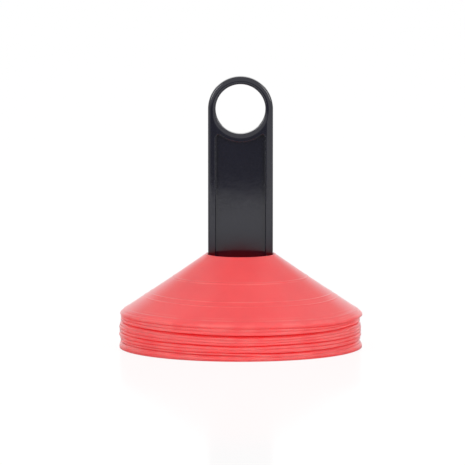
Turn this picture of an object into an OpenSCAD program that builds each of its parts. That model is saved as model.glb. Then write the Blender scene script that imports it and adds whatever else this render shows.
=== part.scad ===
// Ten nested marker cones on a carry handle with a finger ring and a foot that holds the stack.

/* [Marker cone] */
// Diameter of a cone at its rim
cone_d = 200; // [160:1:240]
// Height of one cone, from the rim to the top of the collar
cone_h = 51; // [42:1:60]
// Wall thickness, measured square to the slope
cone_wall = 1.4; // [1:0.1:1.6]
// Rise from one nested cone to the next
nest_step = 2.95; // [2.9:0.05:4]

/* [Cone rim] */
// Height of the upright edge of the rim
edge_h = 1.6; // [1.2:0.1:1.8]
// Width of the flat under the rim
rim_w = 1.5; // [1:0.1:1.8]

/* [Cone collar and rings] */
// Diameter of the bead rolled round the hole
bead_d = 2.2; // [1.8:0.1:2.4]
// Width of a moulded ring on the slope
ridge_w = 2; // [1:0.1:3]
// Height of a moulded ring above the slope
ridge_h = 0.3; // [0.2:0.05:0.5]
// Width of the bevel at each side of a moulded ring
ridge_bevel = 0.5; // [0.2:0.1:0.9]

/* [Carry handle] */
// Width of the blade
blade_w = 53; // [44:0.5:53]
// Depth of the blade, front to back
blade_depth = 10; // [8:0.5:10.5]
// Height of the centre of the finger ring above the ground
ring_z = 198; // [150:1:260]
// Diameter of the finger ring's bore
ring_bore_d = 41.5; // [30:0.5:44]
// Width of the ring's band between the bore and the panel
ring_band = 6.5; // [5:0.1:8]
// Width of the rail down each side of the blade
rail_w = 5.8; // [4:0.1:8]
// Thickness of the panel between the rails
web_t = 2.4; // [1.6:0.1:4]
// Radius on the outer edges of the blade
outer_round = 1.5; // [0.5:0.1:2]
// Radius on the edges of the bore, and width of the bevel on the panel's edges
inner_round = 0.8; // [0.4:0.1:1]
// Radius in the corners of the panel
panel_corner = 2.6; // [1.5:0.1:4]
// Height of the solid block at the foot of the blade
end_block_h = 14; // [10:0.5:24]

/* [Foot] */
// Diameter of the foot
foot_d = 100; // [80:1:120]
// Height of the foot, from the ground to its top face
foot_h = 8; // [7:0.1:10]
// Thickness of the foot's plate and skirt
foot_wall = 2.6; // [2:0.1:3]
// Radius on the upper edge of the foot
foot_round = 2; // [1:0.1:2.4]
// Height of the collar that holds the blade upright
socket_h = 8; // [5:0.5:10]
// Wall of that collar
socket_wall = 2.4; // [1.6:0.1:3]
// Diameter of the hub under the foot
hub_d = 52; // [48:1:60]
// Number of ribs under the foot
foot_ribs = 8; // [4:2:12]
// Thickness of a rib under the foot
rib_t = 1.6; // [1:0.1:2.4]

/* [Snap prongs] */
// Distance of a prong's middle from the middle of the blade
prong_x = 14; // [12:0.5:16]
// Width of a prong
prong_w = 7; // [5:0.5:8]
// Thickness of a prong, front to back
prong_t = 4; // [3:0.5:6]
// Reach of a prong's barb past its side
barb = 1.2; // [0.8:0.1:1.6]
// Height of a prong's tip above the ground
prong_tip_z = 1.4; // [1:0.1:2]

/* [Fits] */
// Gap between the blade and its collar, and between a prong and its slot
fit_gap = 0.3; // [0.2:0.05:0.4]
// Gap between the blade's corners and the hole in a cone
hole_gap = 0.7; // [0.5:0.1:3]

/* [Hidden] */

// How finely curves are drawn
$fn = 96;
// How far every cut runs past the face that it opens
overrun = 1;

// Half the blade, and its farthest point from the middle
half_w = blade_w / 2;
half_depth = blade_depth / 2;
blade_reach = norm([half_w - outer_round, half_depth - outer_round]) + outer_round;
// Rim and hole as radii
rim_r = cone_d / 2;
hole_r = blade_reach + hole_gap;
// Middle of the bead round the hole
bead_r = bead_d / 2;
bead_x = hole_r + bead_r;
bead_z = cone_h - bead_r;
// The outer slope runs from the top of the rim's edge to the outer side of the bead
slope_angle = atan2(bead_z + bead_r / 2 - edge_h, rim_r - bead_x - bead_r / 2);
// Places of the moulded rings between the hole and the rim, as shares of the way out
ring_place_shares = [0.38, 0.62, 0.67, 0.945];
// Widths of the rings as shares of the first one; the last is the broad band near the rim
ring_width_shares = [1, 0.8, 0.8, 1.8];

// A point of the slope at radius r, moved out by the given distance square to it
function slope_point(r, out = 0) = [
    r + out * sin(slope_angle),
    edge_h + (rim_r - r) * tan(slope_angle) + out * cos(slope_angle)
];
// Inner edge of the flat under the rim
flat_r = rim_r - rim_w;
// Radius of the middle of a moulded ring
function ridge_mid(share) = bead_x + share * (rim_r - bead_x);
// The four corners of a moulded ring, from the rim side to the hole side
function ridge_points(share, width) =
    let (mid = ridge_mid(share), half = width * cos(slope_angle) / 2)
    let (bevel = ridge_bevel * cos(slope_angle))
    [
        slope_point(mid + half),
        slope_point(mid + half - bevel, ridge_h),
        slope_point(mid - half + bevel, ridge_h),
        slope_point(mid - half)
    ];
function ridge(i) = ridge_points(ring_place_shares[i], ridge_w * ring_width_shares[i]);

// Blade and ring sizes that follow from the ones above
bore_r = ring_bore_d / 2;
arc_r = bore_r + ring_band;
panel_x = half_w - rail_w;
panel_z = foot_h + end_block_h;
pocket_depth = (blade_depth - web_t) / 2;
// Middle of the round in the upper corners of the panel, measured from the ring's middle
corner_x = panel_x - panel_corner;
corner_drop = sqrt(pow(arc_r + panel_corner, 2) - corner_x * corner_x);
// Direction from the ring's middle to that corner, from straight down
corner_angle = atan2(corner_x, corner_drop);

// Foot sizes that follow from the ones above
foot_r = foot_d / 2;
plate_z = foot_h - foot_wall;
hub_r = hub_d / 2;
rib_h = plate_z / 2;
barb_z = plate_z - fit_gap;

// Rectangle with round corners
module round_rect(w, h, r) {
    square([w - 2 * r, h], center = true);
    square([w, h - 2 * r], center = true);
    for (x = [-1, 1]) {
        for (y = [-1, 1]) {
            translate([x * (w / 2 - r), y * (h / 2 - r)])
                circle(r);
        }
    }
}

// Section of one cone: sloping wall with moulded rings, upright edge, flat rim and rolled bead
module cone_section() {
    polygon(concat(
        [
            [flat_r, 0],
            [rim_r, 0],
            [rim_r, edge_h]
        ],
        ridge(3),
        ridge(2),
        ridge(1),
        ridge(0),
        [
            slope_point(bead_x),
            slope_point(bead_x, -cone_wall),
            [flat_r, slope_point(flat_r)[1] - cone_wall / cos(slope_angle)]
        ]
    ));
    translate([bead_x, bead_z])
        circle(bead_r);
}

// One cone, counted from the bottom of the stack
module marker_cone(place) {
    color([0.9, 0.24, 0.24])
        translate([0, 0, (place - 1) * nest_step])
        rotate_extrude()
        cone_section();
}

// Outline of the whole blade: straight below the ring's middle, half round above it
module blade_body() {
    translate([0, 0, foot_h])
        linear_extrude(ring_z - foot_h)
        round_rect(blade_w, blade_depth, outer_round);
    translate([0, 0, ring_z])
        rotate([90, 0, 0])
        rotate_extrude(angle = 180)
        intersection() {
            round_rect(blade_w, blade_depth, outer_round);
            translate([0, -blade_depth])
                square([blade_w, blade_depth * 2]);
        }
}

// Section of the cut that rounds an edge of the bore
module round_cut(r) {
    difference() {
        translate([r - inner_round, half_depth - inner_round])
            square([inner_round * 2, inner_round + overrun]);
        translate([r + inner_round, half_depth - inner_round])
            circle(inner_round);
    }
}

// Section of the cut that bevels an edge of a face; side is 1 where the face lies further out than r
module edge_cut(r, side) {
    translate([r, half_depth])
        scale([side, 1])
        polygon([
            [-inner_round, -inner_round * 2],
            [inner_round + overrun, overrun],
            [-inner_round, overrun]
        ]);
}

// That cut along an arc about the point x, z, seen from the front, over the given angles
module arc_edge_cut(x, z, r, side, from, to) {
    translate([x, 0, z])
        rotate([90, 0, 0])
        rotate([0, 0, from])
        rotate_extrude(angle = to - from)
        edge_cut(r, side);
}

// The ring's bore, with round edges front and back
module ring_bore() {
    translate([0, 0, ring_z])
        rotate([90, 0, 0])
        cylinder(r = bore_r, h = blade_depth + overrun * 2, center = true);
    for (side = [0, 1]) {
        mirror([0, side, 0])
            translate([0, 0, ring_z])
            rotate([90, 0, 0])
            rotate_extrude()
            round_cut(bore_r);
    }
}

// The cuts that bevel the panel's edges on one face, all the way round
module panel_edge_cuts() {
    upper_z = ring_z - corner_drop;
    lower_z = panel_z + panel_corner;
    arc_edge_cut(0, ring_z, arc_r, -1, -90 - corner_angle, -90 + corner_angle);
    translate([-corner_x, 0, panel_z])
        rotate([0, 90, 0])
        linear_extrude(corner_x * 2)
        mirror([0, 1])
        edge_cut(0, 1);
    for (side = [0, 1]) {
        mirror([side, 0, 0]) {
            arc_edge_cut(corner_x, upper_z, panel_corner, 1, 0, 90 + corner_angle);
            arc_edge_cut(corner_x, lower_z, panel_corner, 1, -90, 0);
            translate([0, 0, lower_z])
                linear_extrude(upper_z - lower_z)
                mirror([0, 1])
                edge_cut(panel_x, 1);
        }
    }
}

// Outline of the panel between the rails, seen from the front, from the ring's middle
module panel_outline() {
    low = panel_z - ring_z;
    difference() {
        translate([-panel_x, low])
            square([panel_x * 2, -low]);
        circle(arc_r);
        for (side = [0, 1]) {
            mirror([side, 0]) {
                upper_corner_fill();
                lower_corner_fill(low);
            }
        }
    }
}

// What stays in an upper corner of the panel
module upper_corner_fill() {
    difference() {
        polygon([
            [corner_x, -corner_drop],
            [panel_x + overrun, -corner_drop],
            [panel_x + overrun, 0],
            [(arc_r - overrun) * sin(corner_angle), -(arc_r - overrun) * cos(corner_angle)]
        ]);
        translate([corner_x, -corner_drop])
            circle(panel_corner);
    }
}

// What stays in a lower corner of the panel
module lower_corner_fill(low) {
    difference() {
        translate([corner_x, low - overrun])
            square([panel_corner + overrun, panel_corner + overrun]);
        translate([corner_x, low + panel_corner])
            circle(panel_corner);
    }
}

// The recess on one face of the blade
module panel_pocket() {
    translate([0, -web_t / 2, ring_z])
        rotate([90, 0, 0])
        linear_extrude(pocket_depth + overrun)
        panel_outline();
}

// The carry handle: ring, rails, panel, end block and snap prongs
module carry_handle() {
    color([0.1, 0.1, 0.11]) {
        difference() {
            blade_body();
            ring_bore();
            for (side = [0, 1]) {
                mirror([0, side, 0]) {
                    panel_pocket();
                    panel_edge_cuts();
                }
            }
        }
        for (side = [0, 1]) {
            mirror([side, 0, 0])
                snap_prong();
        }
    }
}

// One prong, with its barb on the outer side
module snap_prong() {
    inner = prong_x - prong_w / 2;
    outer = prong_x + prong_w / 2;
    translate([0, prong_t / 2, 0])
        rotate([90, 0, 0])
        linear_extrude(prong_t)
        polygon([
            [inner, foot_h + overrun],
            [outer, foot_h + overrun],
            [outer, barb_z],
            [outer + barb, barb_z],
            [outer + barb, barb_z - barb],
            [outer - barb, prong_tip_z],
            [inner, prong_tip_z]
        ]);
}

// Section of the foot's plate and skirt
module foot_section() {
    difference() {
        union() {
            square([foot_r - foot_round, foot_h]);
            square([foot_r, foot_h - foot_round]);
            translate([foot_r - foot_round, foot_h - foot_round])
                circle(foot_round);
        }
        translate([-overrun, -overrun])
            square([foot_r - foot_wall + overrun, plate_z + overrun]);
    }
}

// The foot: plate, skirt, collar for the blade, hub and ribs
module foot_plate() {
    color([0.13, 0.13, 0.14])
        difference() {
            union() {
                rotate_extrude()
                    foot_section();
                translate([0, 0, plate_z])
                    linear_extrude(foot_wall + socket_h)
                    round_rect(
                        blade_w + (fit_gap + socket_wall) * 2,
                        blade_depth + (fit_gap + socket_wall) * 2,
                        outer_round + fit_gap + socket_wall
                    );
                foot_underside();
            }
            translate([0, 0, foot_h])
                linear_extrude(socket_h + overrun)
                round_rect(
                    blade_w + fit_gap * 2,
                    blade_depth + fit_gap * 2,
                    outer_round + fit_gap
                );
            for (side = [0, 1]) {
                mirror([side, 0, 0])
                    prong_slot();
            }
        }
}

// Hub ring and ribs that stiffen the plate from below
module foot_underside() {
    translate([0, 0, rib_h])
        difference() {
            cylinder(r = hub_r, h = plate_z - rib_h + foot_wall / 2);
            translate([0, 0, -overrun])
                cylinder(r = hub_r - rib_t, h = plate_z - rib_h + overrun);
        }
    for (i = [0:foot_ribs - 1]) {
        rotate([0, 0, (i + 1 / 2) * 360 / foot_ribs])
            translate([hub_r - rib_t / 2, -rib_t / 2, rib_h])
            cube([foot_r - foot_wall / 2 - hub_r + rib_t / 2, rib_t, plate_z - rib_h + foot_wall / 2]);
    }
}

// The slot that a prong passes through
module prong_slot() {
    translate([prong_x, 0, foot_h / 2])
        cube([prong_w + fit_gap * 2, prong_t + fit_gap * 2, foot_h + overrun * 2], center = true);
}

carry_handle();
foot_plate();
marker_cone(1);  // marker_cone_01
marker_cone(2);  // marker_cone_02
marker_cone(3);  // marker_cone_03
marker_cone(4);  // marker_cone_04
marker_cone(5);  // marker_cone_05
marker_cone(6);  // marker_cone_06
marker_cone(7);  // marker_cone_07
marker_cone(8);  // marker_cone_08
marker_cone(9);  // marker_cone_09
marker_cone(10);  // marker_cone_10
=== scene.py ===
import bpy
import math
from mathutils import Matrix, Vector
from mathutils.geometry import delaunay_2d_cdt


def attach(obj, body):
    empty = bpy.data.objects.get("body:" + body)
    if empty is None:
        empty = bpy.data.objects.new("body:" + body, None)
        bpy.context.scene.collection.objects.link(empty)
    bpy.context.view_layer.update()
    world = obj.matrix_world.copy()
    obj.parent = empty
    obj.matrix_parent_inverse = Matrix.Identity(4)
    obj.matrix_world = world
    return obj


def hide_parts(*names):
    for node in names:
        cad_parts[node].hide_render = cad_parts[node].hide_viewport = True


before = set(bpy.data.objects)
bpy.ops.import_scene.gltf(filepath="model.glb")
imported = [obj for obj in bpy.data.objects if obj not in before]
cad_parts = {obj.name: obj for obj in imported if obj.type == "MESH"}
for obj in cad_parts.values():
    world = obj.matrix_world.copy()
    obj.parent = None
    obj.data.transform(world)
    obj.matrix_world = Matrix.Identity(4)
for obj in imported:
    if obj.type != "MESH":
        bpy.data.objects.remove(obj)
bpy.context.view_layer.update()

MM = 0.001

# ---------------------------------------------------------------- camera
scene = bpy.context.scene
scene.view_settings.view_transform = "Standard"

lens = bpy.data.cameras.new("camera")
lens.sensor_width = 36.0
lens.lens = 487.8
lens.clip_end = 200.0
camera = bpy.data.objects.new("camera", lens)
scene.collection.objects.link(camera)
aim = Vector((-0.0066, 0.0, 0.0950))
camera.location = Vector((-0.0066, -5.18, 0.65))
camera.rotation_mode = "QUATERNION"
camera.rotation_quaternion = (aim - camera.location).to_track_quat("-Z", "Y")
scene.camera = camera


# ---------------------------------------------------------------- node helpers
def new_material(name):
    mat = bpy.data.materials.new(name)
    mat.use_nodes = True
    tree = mat.node_tree
    tree.nodes.clear()
    return mat, tree


def add(tree, kind, **settings):
    node = tree.nodes.new(kind)
    for key, value in settings.items():
        setattr(node, key, value)
    return node


def put(tree, socket, value):
    if isinstance(value, bpy.types.NodeSocket):
        tree.links.new(value, socket)
    else:
        socket.default_value = value


def math_node(tree, operation, a, b=0.0):
    node = add(tree, "ShaderNodeMath", operation=operation)
    for socket, value in zip(node.inputs, (a, b)):
        put(tree, socket, value)
    return node.outputs[0]


def axes(tree, vector):
    """The X, Y and Z outputs of a vector."""
    node = add(tree, "ShaderNodeSeparateXYZ")
    tree.links.new(vector, node.inputs[0])
    return node.outputs["X"], node.outputs["Y"], node.outputs["Z"]


def noise_node(tree, vector, scale, detail=2.0, rough=0.5):
    node = add(tree, "ShaderNodeTexNoise")
    put(tree, node.inputs["Vector"], vector)
    put(tree, node.inputs["Scale"], scale)
    put(tree, node.inputs["Detail"], detail)
    put(tree, node.inputs["Roughness"], rough)
    return node.outputs["Fac"]


def ramp(tree, value, low, high, out_low=0.0, out_high=1.0, shape="SMOOTHSTEP"):
    node = add(tree, "ShaderNodeMapRange", clamp=True, interpolation_type=shape)
    put(tree, node.inputs["Value"], value)
    put(tree, node.inputs["From Min"], low)
    put(tree, node.inputs["From Max"], high)
    put(tree, node.inputs["To Min"], out_low)
    put(tree, node.inputs["To Max"], out_high)
    return node.outputs["Result"]


def openness(tree, distance, samples, own_only=False):
    """1 in the open, less where surfaces stand within the distance (m); own_only leaves other objects out."""
    node = add(tree, "ShaderNodeAmbientOcclusion", samples=samples, only_local=own_only)
    node.inputs["Distance"].default_value = distance
    return node.outputs["AO"]


def mix_colour(tree, factor, a, b):
    node = add(tree, "ShaderNodeMix", data_type="RGBA")
    put(tree, node.inputs[0], factor)
    put(tree, node.inputs[6], a)
    put(tree, node.inputs[7], b)
    return node.outputs[2]


def bump_node(tree, height, distance, strength, normal=None):
    node = add(tree, "ShaderNodeBump")
    put(tree, node.inputs["Height"], height)
    put(tree, node.inputs["Distance"], distance)
    put(tree, node.inputs["Strength"], strength)
    if normal is not None:
        put(tree, node.inputs["Normal"], normal)
    return node.outputs["Normal"]


# ---------------------------------------------------------------- materials
# radius in mm and strength of the painted highlights along the raised rings of a cone
RING_HIGHLIGHTS = [
    (54.8, 0.16), (56.8, 0.26), (75.2, 0.32), (80.0, 0.20),
    (92.0, 0.12), (94.5, 0.28), (98.0, 0.30), (99.7, 0.25),
]
# how far from its middle a painted highlight line stays full, and where it ends, in mm
HIGHLIGHT_CORE, HIGHLIGHT_REACH = 0.15, 0.75
# distances in m within which a neighbour brings painted shade and a red glow into a cone's hollows, and a
# painted red reflection onto the black gloss
HOLLOW_REACH, CONE_REACH = 0.005, 0.035
# heights in m between which the blade, from the foot up, begins to take the cones' painted red reflection and
# shade
PAINTED_RED_START, PAINTED_RED_FULL = 0.045, 0.060


def red_plastic():
    mat, tree = new_material("cone_red")
    coord = add(tree, "ShaderNodeTexCoord").outputs["Object"]
    broad = noise_node(tree, coord, 22.0, 3.0)
    fine = noise_node(tree, coord, 900.0, 2.0)
    grain = noise_node(tree, coord, 2600.0, 2.0, 0.6)
    base = mix_colour(
        tree,
        ramp(tree, broad, 0.3, 0.7),
        (0.84, 0.073, 0.078, 1.0),
        (0.88, 0.090, 0.094, 1.0),
    )
    # painted highlights: fine pale lines along the raised rings where they catch the light, broken up here and
    # there
    x, y, _ = axes(tree, coord)
    radius = math_node(tree, "SQRT", math_node(
        tree, "ADD", math_node(tree, "MULTIPLY", x, x), math_node(tree, "MULTIPLY", y, y),
    ))
    ring_highlight = 0.0
    for ring, strength in RING_HIGHLIGHTS:
        away = math_node(tree, "ABSOLUTE", math_node(tree, "SUBTRACT", radius, ring * MM))
        line = ramp(tree, away, HIGHLIGHT_CORE * MM, HIGHLIGHT_REACH * MM, strength, 0.0)
        ring_highlight = math_node(tree, "MAXIMUM", ring_highlight, line)
    patchy = ramp(tree, noise_node(tree, coord, 45.0, 2.0), 0.38, 0.58, 0.25, 1.0)
    ring_highlight = math_node(tree, "MULTIPLY", ring_highlight, patchy)
    base = mix_colour(tree, ring_highlight, base, (0.92, 0.30, 0.28, 1.0))
    # painted shade between two cones: where a neighbour stands close, the colour turns a deeper red
    open_share = ramp(tree, openness(tree, HOLLOW_REACH, 6), 0.15, 0.70)
    base = mix_colour(tree, open_share, (0.86, 0.010, 0.016, 1.0), base)
    rough = ramp(tree, fine, 0.3, 0.7, 0.42, 0.52)
    normal = bump_node(tree, grain, 0.00004, 0.30)
    normal = bump_node(tree, broad, 0.0005, 0.10, normal)
    shader = add(tree, "ShaderNodeBsdfPrincipled")
    put(tree, shader.inputs["Base Color"], base)
    put(tree, shader.inputs["Roughness"], rough)
    put(tree, shader.inputs["Normal"], normal)
    shader.inputs["IOR"].default_value = 1.5
    # a faint red glow painted into the same gaps between cones
    shader.inputs["Emission Color"].default_value = (0.90, 0.02, 0.03, 1.0)
    painted_glow_share = math_node(tree, "SUBTRACT", 1.0, open_share)
    put(tree, shader.inputs["Emission Strength"], math_node(tree, "MULTIPLY", painted_glow_share, 0.12))
    shader.inputs["Subsurface Weight"].default_value = 0.85
    shader.inputs["Subsurface Radius"].default_value = (1.0, 0.07, 0.07)
    shader.inputs["Subsurface Scale"].default_value = 0.0018
    # the soft plastic turns pale where it is seen edge-on
    facing = add(tree, "ShaderNodeLayerWeight").outputs["Facing"]
    edge_on = math_node(tree, "POWER", ramp(tree, facing, 0.62, 1.0, shape="LINEAR"), 1.4)
    pale = add(tree, "ShaderNodeBsdfGlossy")
    pale.inputs["Color"].default_value = (1.0, 0.88, 0.90, 1.0)
    pale.inputs["Roughness"].default_value = 0.35
    mixed = add(tree, "ShaderNodeMixShader")
    put(tree, mixed.inputs[0], math_node(tree, "MULTIPLY", edge_on, 0.65))
    tree.links.new(shader.outputs[0], mixed.inputs[1])
    tree.links.new(pale.outputs[0], mixed.inputs[2])
    out = add(tree, "ShaderNodeOutputMaterial")
    tree.links.new(mixed.outputs[0], out.inputs["Surface"])
    return mat


def black_plastic():
    mat, tree = new_material("holder_black")
    coord = add(tree, "ShaderNodeTexCoord").outputs["Object"]
    broad = noise_node(tree, coord, 35.0, 3.0)
    fine = noise_node(tree, coord, 700.0, 2.0)
    grain = noise_node(tree, coord, 3200.0, 2.0, 0.6)
    base = mix_colour(
        tree,
        ramp(tree, broad, 0.3, 0.7),
        (0.0064, 0.0065, 0.0138, 1.0),
        (0.0080, 0.0081, 0.0165, 1.0),
    )
    # painted red reflection and shade near the cones: where other pieces close in what this piece by itself
    # leaves open, the colour is painted a dark red
    around_own = openness(tree, CONE_REACH, 8, own_only=True)
    around_all = openness(tree, CONE_REACH, 8)
    closed = math_node(tree, "SUBTRACT", around_own, around_all)
    # the foot and the blade's end have only the floor and each other near, and stay plain black
    above_foot = ramp(tree, axes(tree, coord)[2], PAINTED_RED_START, PAINTED_RED_FULL)
    painted_red_share = math_node(tree, "MULTIPLY", ramp(tree, closed, 0.11, 0.44), above_foot)
    base = mix_colour(tree, painted_red_share, base, (0.006, 0.002, 0.003, 1.0))
    rough = ramp(tree, fine, 0.3, 0.7, 0.05, 0.09)
    normal = bump_node(tree, grain, 0.000006, 0.25)
    normal = bump_node(tree, broad, 0.0005, 0.10, normal)
    shader = add(tree, "ShaderNodeBsdfPrincipled")
    put(tree, shader.inputs["Base Color"], base)
    put(tree, shader.inputs["Roughness"], rough)
    put(tree, shader.inputs["Normal"], normal)
    shader.inputs["IOR"].default_value = 1.55
    # where the cones' red is painted, the gloss is lowered and a faint red glow is painted as well
    put(tree, shader.inputs["Specular IOR Level"], ramp(tree, painted_red_share, 0.0, 1.0, 0.5, 0.0))
    shader.inputs["Emission Color"].default_value = (1.0, 0.02, 0.03, 1.0)
    put(tree, shader.inputs["Emission Strength"], math_node(tree, "MULTIPLY", painted_red_share, 0.055))
    out = add(tree, "ShaderNodeOutputMaterial")
    tree.links.new(shader.outputs[0], out.inputs["Surface"])
    return mat


def floor_material():
    mat, tree = new_material("white_floor")
    path = add(tree, "ShaderNodeLightPath")
    # bright for the light that it throws back on the object, plain white to the camera
    diffuse = add(tree, "ShaderNodeBsdfDiffuse")
    level = mix_colour(
        tree, path.outputs["Is Camera Ray"], (0.80, 0.80, 0.80, 1.0), (0.07, 0.07, 0.07, 1.0),
    )
    put(tree, diffuse.inputs["Color"], level)
    # painted light and shade seen only in gloss: the floor glows brighter far in front, and is painted darker
    # near the stack
    ahead = axes(tree, add(tree, "ShaderNodeTexCoord").outputs["Object"])[1]
    far_glow = ramp(tree, ahead, -1.0, -0.60, 0.27, -0.16)
    glow = add(tree, "ShaderNodeEmission")
    glow.inputs["Color"].default_value = (1.0, 1.0, 1.0, 1.0)
    put(tree, glow.inputs["Strength"], math_node(
        tree, "ADD",
        math_node(tree, "MULTIPLY", path.outputs["Is Camera Ray"], 0.955),
        math_node(tree, "MULTIPLY", path.outputs["Is Glossy Ray"], far_glow),
    ))
    both = add(tree, "ShaderNodeAddShader")
    tree.links.new(diffuse.outputs[0], both.inputs[0])
    tree.links.new(glow.outputs[0], both.inputs[1])
    gloss = add(tree, "ShaderNodeBsdfGlossy")
    gloss.inputs["Color"].default_value = (1.0, 1.0, 1.0, 1.0)
    gloss.inputs["Roughness"].default_value = 0.12
    mixed = add(tree, "ShaderNodeMixShader")
    mixed.inputs[0].default_value = 0.07
    tree.links.new(both.outputs[0], mixed.inputs[1])
    tree.links.new(gloss.outputs[0], mixed.inputs[2])
    out = add(tree, "ShaderNodeOutputMaterial")
    tree.links.new(mixed.outputs[0], out.inputs["Surface"])
    return mat


RED = red_plastic()
BLACK = black_plastic()


# ---------------------------------------------------------------- mesh helpers
class Builder:
    """Collects vertices with their normals, and faces, and turns them into a smooth object."""

    def __init__(self):
        self.points = []
        self.normals = []
        self.faces = []

    def vertex(self, point, normal):
        self.points.append(tuple(c * MM for c in point))
        self.normals.append(tuple(Vector(normal).normalized()))
        return len(self.points) - 1

    def strip(self, first, second):
        """Quads between two closed rows of vertices; the rows run the same way."""
        count = len(first)
        for i in range(count):
            j = (i + 1) % count
            self.faces.append((first[i], first[j], second[j], second[i]))

    def build(self, name, material):
        used = sorted({v for face in self.faces for v in face})
        order = {v: i for i, v in enumerate(used)}
        self.points = [self.points[v] for v in used]
        self.normals = [self.normals[v] for v in used]
        self.faces = [tuple(order[v] for v in face) for face in self.faces]
        mesh = bpy.data.meshes.new(name)
        mesh.from_pydata(self.points, [], self.faces)
        # turn each face so that it agrees with its corners' normals
        mesh.update()
        flip = []
        for face in mesh.polygons:
            total = Vector((0.0, 0.0, 0.0))
            for v in face.vertices:
                total += Vector(self.normals[v])
            if face.normal.dot(total) < 0:
                flip.append(face.index)
        for index in flip:
            mesh.polygons[index].flip()
        for face in mesh.polygons:
            face.use_smooth = True
        mesh.update()
        mesh.normals_split_custom_set_from_vertices(self.normals)
        mesh.materials.append(material)
        obj = bpy.data.objects.new(name, mesh)
        scene.collection.objects.link(obj)
        return obj


def arc(cx, cz, radius, start, end, steps, outward=1.0):
    """Points (x, z, nx, nz) along an arc in degrees; the normals point away from the centre if outward is 1."""
    result = []
    for k in range(steps + 1):
        angle = math.radians(start + (end - start) * k / steps)
        c, s = math.cos(angle), math.sin(angle)
        result.append((cx + radius * c, cz + radius * s, outward * c, outward * s))
    return result


def join_outline(*parts):
    """One closed outline; a point that repeats the last one is left out."""
    result = []
    for part in parts:
        for p in part:
            if not result or math.hypot(p[0] - result[-1][0], p[1] - result[-1][1]) > 1e-4:
                result.append(p)
    if math.hypot(result[0][0] - result[-1][0], result[0][1] - result[-1][1]) < 1e-4:
        result.pop()
    return result


def within(x, z, loops):
    """True if the point lies inside an odd number of the closed loops."""
    inside = False
    for loop in loops:
        for i, p in enumerate(loop):
            q = loop[i - 1]
            if (p[1] > z) != (q[1] > z) and x < p[0] + (z - p[1]) * (q[0] - p[0]) / (q[1] - p[1]):
                inside = not inside
    return inside


def flat_fill(builder, loops, lines, height, side, normal=None):
    """Fills the face between closed loops of vertices with triangles that also follow the given lines."""
    flat, edges, back, shapes = [], [], [], []
    for number, loop in enumerate(loops + lines):
        start = len(flat)
        shape = [(builder.points[v][0] / MM, builder.points[v][2] / MM) for v in loop]
        if number < len(loops):
            shapes.append(shape)
        flat += [Vector(p) for p in shape]
        back += loop
        count = len(loop)
        edges += [(start + i, start + (i + 1) % count) for i in range(count)]
    points, _, faces, origin, _, _ = delaunay_2d_cdt(flat, edges, [], 0, 1e-5)
    place = {}
    for face in faces:
        middle = sum((points[i] for i in face), Vector((0.0, 0.0))) / len(face)
        if not within(middle.x, middle.y, shapes):
            continue
        for i in face:
            if i not in place:
                p = points[i]
                if origin[i]:
                    place[i] = back[min(origin[i])]
                else:
                    turned = normal(p.x, p.y, side) if normal else (0, side, 0)
                    place[i] = builder.vertex((p.x, side * height(p.x, p.y), p.y), turned)
        builder.faces.append(tuple(place[i] for i in face))


# ---------------------------------------------------------------- marker cones
# sizes in mm, as in the construction; only the rings on the slope follow the photo more closely
CONE_H = 51.0
RIM_R = 100.0
HOLE_R = 27.444
WALL = 1.4
EDGE_H = 1.7
RIM_W = 0.35
BEAD_R = 1.1
STEP = 2.95
BEAD_X = HOLE_R + BEAD_R
BEAD_Z = CONE_H - BEAD_R
SLOPE = math.atan2(BEAD_Z + BEAD_R / 2 - EDGE_H, RIM_R - BEAD_X - BEAD_R / 2)
# place between hole and rim as a share, width and height of each moulded ring, from the rim inwards
RIDGES = [(0.945, 3.6, 0.20), (0.72, 1.6, 0.22), (0.653, 1.6, 0.22), (0.38, 2.0, 0.22)]
RIDGE_BEVEL = 0.5
# the bead's first angle, how far it turns, in degrees, and in how many pieces
BEAD_START, BEAD_TURN, BEAD_PIECES = 20, 300, 8


def slope_point(r, out=0.0):
    return (
        r + out * math.sin(SLOPE),
        EDGE_H + (RIM_R - r) * math.tan(SLOPE) + out * math.cos(SLOPE),
    )


def soften(points, radii, steps):
    """A closed outline (r, z, nr, nz): each corner becomes a short curve with its normals."""
    result = []
    count = len(points)
    for i in range(count):
        p = Vector(points[i])
        a = Vector(points[i - 1]) - p
        b = Vector(points[(i + 1) % count]) - p
        reach = min(radii[i], a.length * 0.48, b.length * 0.48)
        start = p + a.normalized() * reach
        end = p + b.normalized() * reach
        for k in range(steps + 1):
            t = k / steps
            q = start * (1 - t) ** 2 + p * 2 * t * (1 - t) + end * t ** 2
            tangent = (p - start) * (1 - t) + (end - p) * t
            result.append((q.x, q.y, -tangent.y, tangent.x))
    return result


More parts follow.
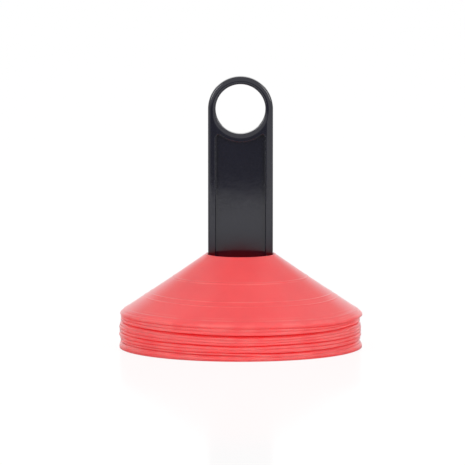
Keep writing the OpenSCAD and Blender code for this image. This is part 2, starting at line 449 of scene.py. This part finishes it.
def cone_outline():
    """Section of one cone as (r, z, nr, nz) in mm, closed, from the inner rim edge round the outside."""
    flat_r = RIM_R - RIM_W
    points = [(flat_r, 0.0), (RIM_R, 0.0), (RIM_R, EDGE_H - 0.45), slope_point(RIM_R - 0.9)]
    radii = [0.12, 0.30, 0.50, 0.50]
    for share, width, height in RIDGES:
        mid = BEAD_X + share * (RIM_R - BEAD_X)
        half = width * math.cos(SLOPE) / 2
        top_half = half - RIDGE_BEVEL * math.cos(SLOPE)
        for r, out in ((mid + half, 0), (mid + top_half, height), (mid - top_half, height), (mid - half, 0)):
            points.append(slope_point(r, out))
            radii.append(0.25)
    # the bead rolled round the hole, in straight pieces that are then softened
    for k in range(BEAD_PIECES + 1):
        angle = math.radians(BEAD_START + BEAD_TURN * k / BEAD_PIECES)
        reach = BEAD_R / math.cos(math.radians(BEAD_TURN / 2 / BEAD_PIECES))
        points.append((BEAD_X + reach * math.cos(angle), BEAD_Z + reach * math.sin(angle)))
        radii.append(0.4)
    points.append(slope_point(BEAD_X + 2.4, -WALL))
    radii.append(0.6)
    points.append((flat_r, slope_point(flat_r)[1] - WALL / math.cos(SLOPE)))
    radii.append(0.2)
    return soften(points, radii, 3)


def smooth_step(a, b, x):
    t = min(1.0, max(0.0, (x - a) / (b - a)))
    return t * t * (3 - 2 * t)


# how far the soft rim of each cone, from the ground up, sits above its even place, in mm,
# at the angles below (90 is the back, 270 the front)
WARP_ANGLES = [90, 150, 197, 222, 250, 270, 289, 318, 341, 390]
RIM_RISE = [
    [0.10, 0.00, 0.00, 0.00, 0.00, 0.00, 0.00, 0.00, 0.20, 0.20],
    [0.40, 1.30, 2.75, 2.95, 2.40, 1.90, 0.40, 0.10, 0.60, 0.40],
    [0.40, 1.00, 2.15, 2.10, 1.55, 1.40, 0.80, 1.30, 1.70, 0.60],
    [0.30, 0.90, 1.85, 1.80, 1.20, 0.50, 1.30, 1.55, 1.85, 0.70],
    [0.40, 1.10, 2.20, 2.10, 1.55, 0.80, 1.55, 1.80, 2.20, 0.80],
    [0.30, 1.00, 1.90, 1.80, 0.90, 0.15, 0.55, 1.15, 1.70, 0.70],
    [0.20, 0.80, 1.60, 1.50, 0.25, -0.55, -0.50, 0.55, 1.30, 0.50],
    [0.30, 1.10, 2.10, 2.00, 1.15, 0.50, 0.50, 1.05, 2.00, 0.80],
    [0.30, 1.00, 1.80, 1.80, 1.10, 0.65, 0.90, 0.25, 1.20, 0.60],
    [0.20, 0.80, 1.40, 1.50, 0.70, 0.35, 0.15, -0.55, 0.30, 0.30],
]
# cones with an open gap above their rim's edge: the angles between which it opens, and its width in mm
OPEN_GAPS = {1: (130, 276, 1.7), 2: (266, 400, 1.3), 4: (90, 450, 1.35), 7: (90, 450, 2.4)}
# the gap elsewhere in mm, the degrees over which an open gap closes, and the lowest edge in mm
REST_GAP = 0.42
GAP_FADE = 14
LEAST_EDGE = 1.5
# height of the top cone's edge at the front and at the sides
TOP_EDGE = (2.9, 1.5)
# how far each rim stands out at the front, the left and the right, in mm
RIM_REACH = [
    (0.10, 0.20, 0.60), (-0.25, -0.80, -1.20), (0.30, -0.50, -0.80), (-0.10, 0.40, -0.10),
    (0.35, 0.00, -0.20), (-0.05, 0.30, -0.10), (-0.45, -0.20, -0.50), (0.35, -0.90, -1.10),
    (0.00, -0.95, -1.10), (0.10, -0.45, 0.90),
]
# radii in mm between which a cone takes up its rim's shift, and the edge's outermost part of it
BEND_START, BEND_END = 52.0, 103.0
UPRIGHT_START, UPRIGHT_END = RIM_R - 3.2, RIM_R - 0.4


def from_back(degrees):
    """The same angle, counted from 90 (the back) up to 450."""
    return (degrees - 90.0) % 360.0 + 90.0


def periodic(values, angle):
    """Smooth value between the listed angles, once round and back to the first."""
    angle = from_back(angle)
    # one knot more at each end, so that every stretch has neighbours
    knots = [WARP_ANGLES[-1] - 360] + WARP_ANGLES + [WARP_ANGLES[0] + 360, WARP_ANGLES[1] + 360]
    levels = [values[-1]] + list(values) + [values[0], values[1]]
    i = 1
    while angle > knots[i + 1]:
        i += 1
    span = knots[i + 1] - knots[i]
    t = (angle - knots[i]) / span
    # Catmull-Rom through the four nearest knots
    m0 = (levels[i + 1] - levels[i - 1]) / (knots[i + 1] - knots[i - 1]) * span
    m1 = (levels[i + 2] - levels[i]) / (knots[i + 2] - knots[i]) * span
    return (
        (2 * t ** 3 - 3 * t ** 2 + 1) * levels[i]
        + (t ** 3 - 2 * t ** 2 + t) * m0
        + (-2 * t ** 3 + 3 * t ** 2) * levels[i + 1]
        + (t ** 3 - t ** 2) * m1
    )


def edge_height(place, degrees):
    """Height of a cone's upright edge: nearly up to the rim above, or lower where a gap stands open."""
    if place == 10:
        front, side = TOP_EDGE
        return side + (front - side) * max(0.0, -math.sin(math.radians(degrees))) ** 2
    pitch = STEP + periodic(RIM_RISE[place], degrees) - periodic(RIM_RISE[place - 1], degrees)
    gap = REST_GAP
    if place in OPEN_GAPS:
        start, end, width = OPEN_GAPS[place]
        opened = 1.0
        if end - start < 360:
            turn = from_back(degrees)
            opened = (
                smooth_step(start - GAP_FADE, start + GAP_FADE, turn)
                * (1 - smooth_step(end - GAP_FADE, end + GAP_FADE, turn))
            )
        gap += (width - REST_GAP) * opened
    return max(LEAST_EDGE, pitch - gap)


def rim_shift(place, angle):
    """(shift in r, shift in z) of a cone's rim at an angle."""
    front, left, right = RIM_REACH[place - 1]
    c, s = math.cos(angle), math.sin(angle)
    out = front * max(0.0, -s) ** 2 + (left if c < 0 else right) * c ** 2
    return out, periodic(RIM_RISE[place - 1], math.degrees(angle))


def cone_piece(place, around):
    base = (place - 1) * STEP
    # steps in mm and in radians over which slopes are taken
    dr, da = 0.1, 0.01
    outline = []
    for r, z, nr, nz in cone_outline():
        # the rim's shift fades out towards the middle of the cone
        share = smooth_step(BEND_START, BEND_END, r)
        change = (smooth_step(BEND_START, BEND_END, r + dr) - share) / dr
        upright = z * smooth_step(UPRIGHT_START, UPRIGHT_END, r)
        outline.append((r, z, nr, nz, share, change, upright))

    build = Builder()
    rings = []
    for k in range(around):
        angle = 2 * math.pi * k / around
        c, s = math.cos(angle), math.sin(angle)
        out, lift = rim_shift(place, angle)
        out_next, lift_next = rim_shift(place, angle + da)
        turn_r, turn_z = (out_next - out) / da, (lift_next - lift) / da
        stretch = edge_height(place, math.degrees(angle)) / EDGE_H - 1
        column = []
        for r, z, nr, nz, share, change, upright in outline:
            n_r = nr - change * (out * nr + lift * nz)
            n_a = -share * (turn_r * nr + turn_z * nz) / r
            column.append(build.vertex(
                ((r + share * out) * c, (r + share * out) * s, base + z + share * lift + upright * stretch),
                (n_r * c - n_a * s, n_r * s + n_a * c, nz),
            ))
        rings.append(column)
    for k in range(around):
        build.strip(rings[k], rings[(k + 1) % around])
    return build.build(f"cone_{place:02d}_moulding", RED)


AROUND = 288
for place in range(1, 11):
    piece = cone_piece(place, AROUND)
    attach(piece, f"cone_{place:02d}")
    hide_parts(f"marker_cone_{place:02d}")

# ---------------------------------------------------------------- carry handle
# sizes in mm, after the construction, with the faces' slight crown added
HALF_W = 26.78
HALF_DEPTH = 4.55
FOOT_Z = 8.0
RING_Z = 197.75
BORE_R = 20.55
ARC_R = 27.15
PANEL_X = 20.7
PANEL_Z = 22.0
CORNER_R = 2.6
WEB_Y = 1.2
OUTER_ROUND = 1.7
BORE_ROUND = 0.9
PANEL_ROUND = 0.6
FLOOR_ROUND = 0.6
WALL_DRAFT = 0.08
CROWN_W = 5.6
CROWN_SLOPE = math.radians(13.0)
# where the round outer edge ends and the face begins
OUTER_RIM = OUTER_ROUND * (1 - math.sin(CROWN_SLOPE))
CROWN = math.tan(CROWN_SLOPE) * (CROWN_W - OUTER_RIM) / 2
# the same at the bore
BORE_CROWN_W = 4.0
BORE_RIM = BORE_ROUND * (1 - math.sin(CROWN_SLOPE))
BORE_CROWN = math.tan(CROWN_SLOPE) * (BORE_CROWN_W - BORE_RIM) / 2
STEPS = 10
# heights between which the straight sides are divided
SIDE_LEVELS = (60.0, 100.0, 140.0)
BLADE_CORNER = 3.0
# the snap prongs under the end block, which hold the foot
PRONG_X = (10.5, 17.5)
PRONG_T = 4.0
PRONG_TIP_Z = 1.4
PRONG_ROOT_Z = 8.6
BARB = 1.2
BARB_Z = 5.1
PRONG_ROUND = 0.3
PRONG_STEPS = 3

CORNER_X = PANEL_X - CORNER_R
CORNER_DROP = math.sqrt((ARC_R + CORNER_R) ** 2 - CORNER_X ** 2)
CORNER_LEAN = math.atan2(CORNER_X, CORNER_DROP)
TOP_CORNER_Z = RING_Z - CORNER_DROP
LOW_CORNER_Z = PANEL_Z + CORNER_R


def body_outline():
    corner_x, corner_z = HALF_W - BLADE_CORNER, FOOT_Z + BLADE_CORNER
    levels = (corner_z, *SIDE_LEVELS, 170.0, RING_Z)
    return join_outline(
        [(HALF_W, z, 1, 0) for z in levels],
        arc(0, RING_Z, HALF_W, 0, 180, 240),
        [(-HALF_W, z, -1, 0) for z in reversed(levels)],
        arc(-corner_x, corner_z, BLADE_CORNER, 180, 270, 10),
        arc(corner_x, corner_z, BLADE_CORNER, 270, 360, 10),
    )


def panel_outline():
    """The recess, with normals pointing away from it into the plastic."""
    lean = math.degrees(CORNER_LEAN)
    return join_outline(
        arc(CORNER_X, LOW_CORNER_Z, CORNER_R, -90, 0, 8),
        [(PANEL_X, z, 1, 0) for z in SIDE_LEVELS],
        arc(CORNER_X, TOP_CORNER_Z, CORNER_R, 0, 90 + lean, 16),
        arc(0, RING_Z, ARC_R, -90 + lean, -90 - lean, 60, -1.0),
        arc(-CORNER_X, TOP_CORNER_Z, CORNER_R, 90 - lean, 180, 16),
        [(-PANEL_X, z, -1, 0) for z in reversed(SIDE_LEVELS)],
        arc(-CORNER_X, LOW_CORNER_Z, CORNER_R, 180, 270, 8),
    )


def crown(x, z):
    """How far the face stands out at a point: it falls away gently towards the outer edge and the bore."""
    from_centre = math.hypot(x, z - RING_Z)
    outer = HALF_W - (from_centre if z > RING_Z else abs(x))
    outer_reach = min(1.0, max(0.0, (outer - OUTER_RIM) / (CROWN_W - OUTER_RIM)))
    bore_reach = min(1.0, max(0.0, (from_centre - BORE_R - BORE_RIM) / (BORE_CROWN_W - BORE_RIM)))
    return CROWN * (1 - (1 - outer_reach) ** 2) - BORE_CROWN * (1 - bore_reach) ** 2


def round_edge(radius, side, start, level):
    """Profile of the front face's round edge, from the face into the side wall; start is the face's slope."""
    rows = []
    for k in range(STEPS + 1):
        angle = start + (math.pi / 2 - start) * k / STEPS
        s, c = math.sin(angle), math.cos(angle)
        rows.append((side * radius * (s - 1), -level + radius * (math.cos(start) - c), side * s, -c))
    return rows


def snap_prong(build, side):
    """A prong under the end block, with its barb on the outer side; side is 1 on the right."""
    near, far = PRONG_X
    outline = soften(
        [
            (near, PRONG_ROOT_Z), (near, PRONG_TIP_Z), (far - BARB, PRONG_TIP_Z),
            (far + BARB, BARB_Z - BARB), (far + BARB, BARB_Z), (far, BARB_Z), (far, PRONG_ROOT_Z),
        ],
        [0.1, 0.5, 0.6, 0.3, 0.25, 0.3, 0.1], PRONG_STEPS,
    )
    loops = []
    front = [(-1, k) for k in range(PRONG_STEPS, -1, -1)]
    for way, k in front + [(-way, k) for way, k in reversed(front)]:
        angle = math.pi / 2 * k / PRONG_STEPS
        inset, tilt = PRONG_ROUND * (1 - math.cos(angle)), way * math.sin(angle)
        y = way * (PRONG_T / 2 - PRONG_ROUND * (1 - math.sin(angle)))
        loop = []
        for x, z, nx, nz in outline:
            length = math.hypot(nx, nz)
            ux, uz = nx / length, nz / length
            loop.append(build.vertex(
                (side * (x - ux * inset), y, z - uz * inset),
                (side * ux * math.cos(angle), tilt, uz * math.cos(angle)),
            ))
        loops.append(loop)
    for first, second in zip(loops, loops[1:]):
        build.strip(first, second)
    for loop, way in ((loops[0], -1), (loops[-1], 1)):
        cap = [build.vertex(tuple(c / MM for c in build.points[v]), (0, way, 0)) for v in loop]
        build.faces.append(tuple(cap))


def carry_handle_piece():
    build = Builder()
    body = body_outline()
    bore = arc(0, RING_Z, BORE_R, 0, 360, 288)[:-1]
    panel = panel_outline()

    def rows(outline, profile):
        result = []
        for d, y, nd, ny in profile:
            result.append([
                build.vertex((x + nx * d, y, z + nz * d), (nx * nd, ny, nz * nd))
                for x, z, nx, nz in outline
            ])
        for first, second in zip(result, result[1:]):
            build.strip(first, second)
        return result

    def face_loop(outline, shift, side):
        """A line on the arched face at a fixed distance from one of its edges."""
        loop = []
        for x, z, nx, nz in outline:
            px, pz = x + nx * shift, z + nz * shift
            loop.append(build.vertex((px, side * (HALF_DEPTH + crown(px, pz)), pz), face_normal(px, pz, side)))
        return loop

    def face_normal(x, z, side):
        h = 0.02
        gx = (crown(x + h, z) - crown(x - h, z)) / (2 * h)
        gz = (crown(x, z + h) - crown(x, z - h)) / (2 * h)
        return (-gx, side, -gz)

    front = round_edge(OUTER_ROUND, 1, CROWN_SLOPE, HALF_DEPTH)
    outer = rows(body, front + [(d, -y, nd, -ny) for d, y, nd, ny in reversed(front)])
    front = round_edge(BORE_ROUND, -1, CROWN_SLOPE, HALF_DEPTH + crown(BORE_R + BORE_RIM, RING_Z))
    inner = rows(bore, front + [(d, -y, nd, -ny) for d, y, nd, ny in reversed(front)])
    for side in (-1, 1):
        wall = round_edge(PANEL_ROUND, -1, 0.0, HALF_DEPTH + CROWN)
        for k in range(STEPS + 1):
            angle = math.pi / 2 * k / STEPS
            s, c = math.sin(angle), math.cos(angle)
            wall.append((
                -WALL_DRAFT - FLOOR_ROUND * (1 - c),
                -WEB_Y - FLOOR_ROUND * (1 - s),
                -c, -s,
            ))
        wall = [(d, y * -side, nd, ny * -side) for d, y, nd, ny in wall]
        recess = rows(panel, wall)
        edge = outer[0] if side < 0 else outer[-1]
        hole = inner[0] if side < 0 else inner[-1]
        flat_fill(build, [recess[-1]], [], lambda x, z: WEB_Y, side)
        extra = [
            face_loop(body, -(OUTER_RIM + share * (CROWN_W - OUTER_RIM)), side)
            for share in (0.15, 0.3, 0.45, 0.6, 0.75, 0.88)
        ] + [
            face_loop(bore, BORE_RIM + share * (BORE_CROWN_W - BORE_RIM), side)
            for share in (0.3, 0.6, 0.95)
        ]
        flat_fill(
            build, [edge, hole, recess[0]], extra,
            lambda x, z: HALF_DEPTH + crown(x, z), side, face_normal,
        )
    for side in (-1, 1):
        snap_prong(build, side)
    return build.build("carry_handle_moulding", BLACK)


handle_piece = carry_handle_piece()
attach(handle_piece, "carrier")
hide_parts("carry_handle")

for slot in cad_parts["foot_plate"].material_slots:
    slot.material = BLACK

# ---------------------------------------------------------------- floor
floor_mesh = bpy.data.meshes.new("floor")
# a hair under the foot and the lowest rim, so that the faces don't share one plane
floor_z = -0.05 * MM
# half width, near edge and far edge in m
side, near, far = 30, -1.25, 40
floor_mesh.from_pydata(
    [(-side, near, floor_z), (side, near, floor_z), (side, far, floor_z), (-side, far, floor_z)],
    [], [(0, 1, 2, 3)],
)
floor_mesh.materials.append(floor_material())
floor = bpy.data.objects.new("floor", floor_mesh)
scene.collection.objects.link(floor)

# ---------------------------------------------------------------- world and lamps
world = bpy.data.worlds.new("studio")
scene.world = world
world.use_nodes = True
tree = world.node_tree
tree.nodes.clear()
path = add(tree, "ShaderNodeLightPath")
across, along, up = axes(tree, add(tree, "ShaderNodeTexCoord").outputs["Generated"])
# seen in gloss, the side of the camera is dim: from the left to a little right of it, and low down
left = ramp(tree, across, -0.52, -0.28)
right = ramp(tree, across, 0.02, 0.10, 1.0, 0.0)
ahead = ramp(tree, along, -0.3, -0.1, 1.0, 0.0)
low = ramp(tree, up, -0.10, 0.04, 1.0, 0.0)
sideways = math_node(tree, "MULTIPLY", left, right)
dark = math_node(tree, "MULTIPLY", sideways, math_node(tree, "MULTIPLY", ahead, low))
gloss_level = ramp(tree, dark, 0.0, 1.0, 1.0, 0.20)
# as a light, the room is brighter behind the object than on the camera's side
room_level = ramp(tree, along, -0.5, 0.4, 0.45, 0.80)
level = add(tree, "ShaderNodeMix", data_type="FLOAT")
put(tree, level.inputs[0], path.outputs["Is Glossy Ray"])
put(tree, level.inputs[2], room_level)
put(tree, level.inputs[3], gloss_level)
strength = math_node(tree, "MAXIMUM", level.outputs[0], path.outputs["Is Camera Ray"])
back = add(tree, "ShaderNodeBackground")
back.inputs["Color"].default_value = (1.0, 1.0, 1.0, 1.0)
tree.links.new(strength, back.inputs["Strength"])
out = add(tree, "ShaderNodeOutputWorld")
tree.links.new(back.outputs[0], out.inputs["Surface"])


def area_lamp(name, location, target, width, height, power):
    data = bpy.data.lights.new(name, "AREA")
    data.shape = "RECTANGLE"
    data.size = width
    data.size_y = height
    data.energy = power
    lamp = bpy.data.objects.new(name, data)
    lamp.location = location
    lamp.rotation_mode = "QUATERNION"
    lamp.rotation_quaternion = (Vector(target) - Vector(location)).to_track_quat("-Z", "Y")
    scene.collection.objects.link(lamp)


area_lamp("softbox_left", (-1.5, -1.9, 1.05), (0, 0, 0.06), 0.9, 1.2, 23.0)
area_lamp("softbox_right", (1.6, -1.8, 1.0), (0, 0, 0.06), 0.9, 1.2, 24.5)
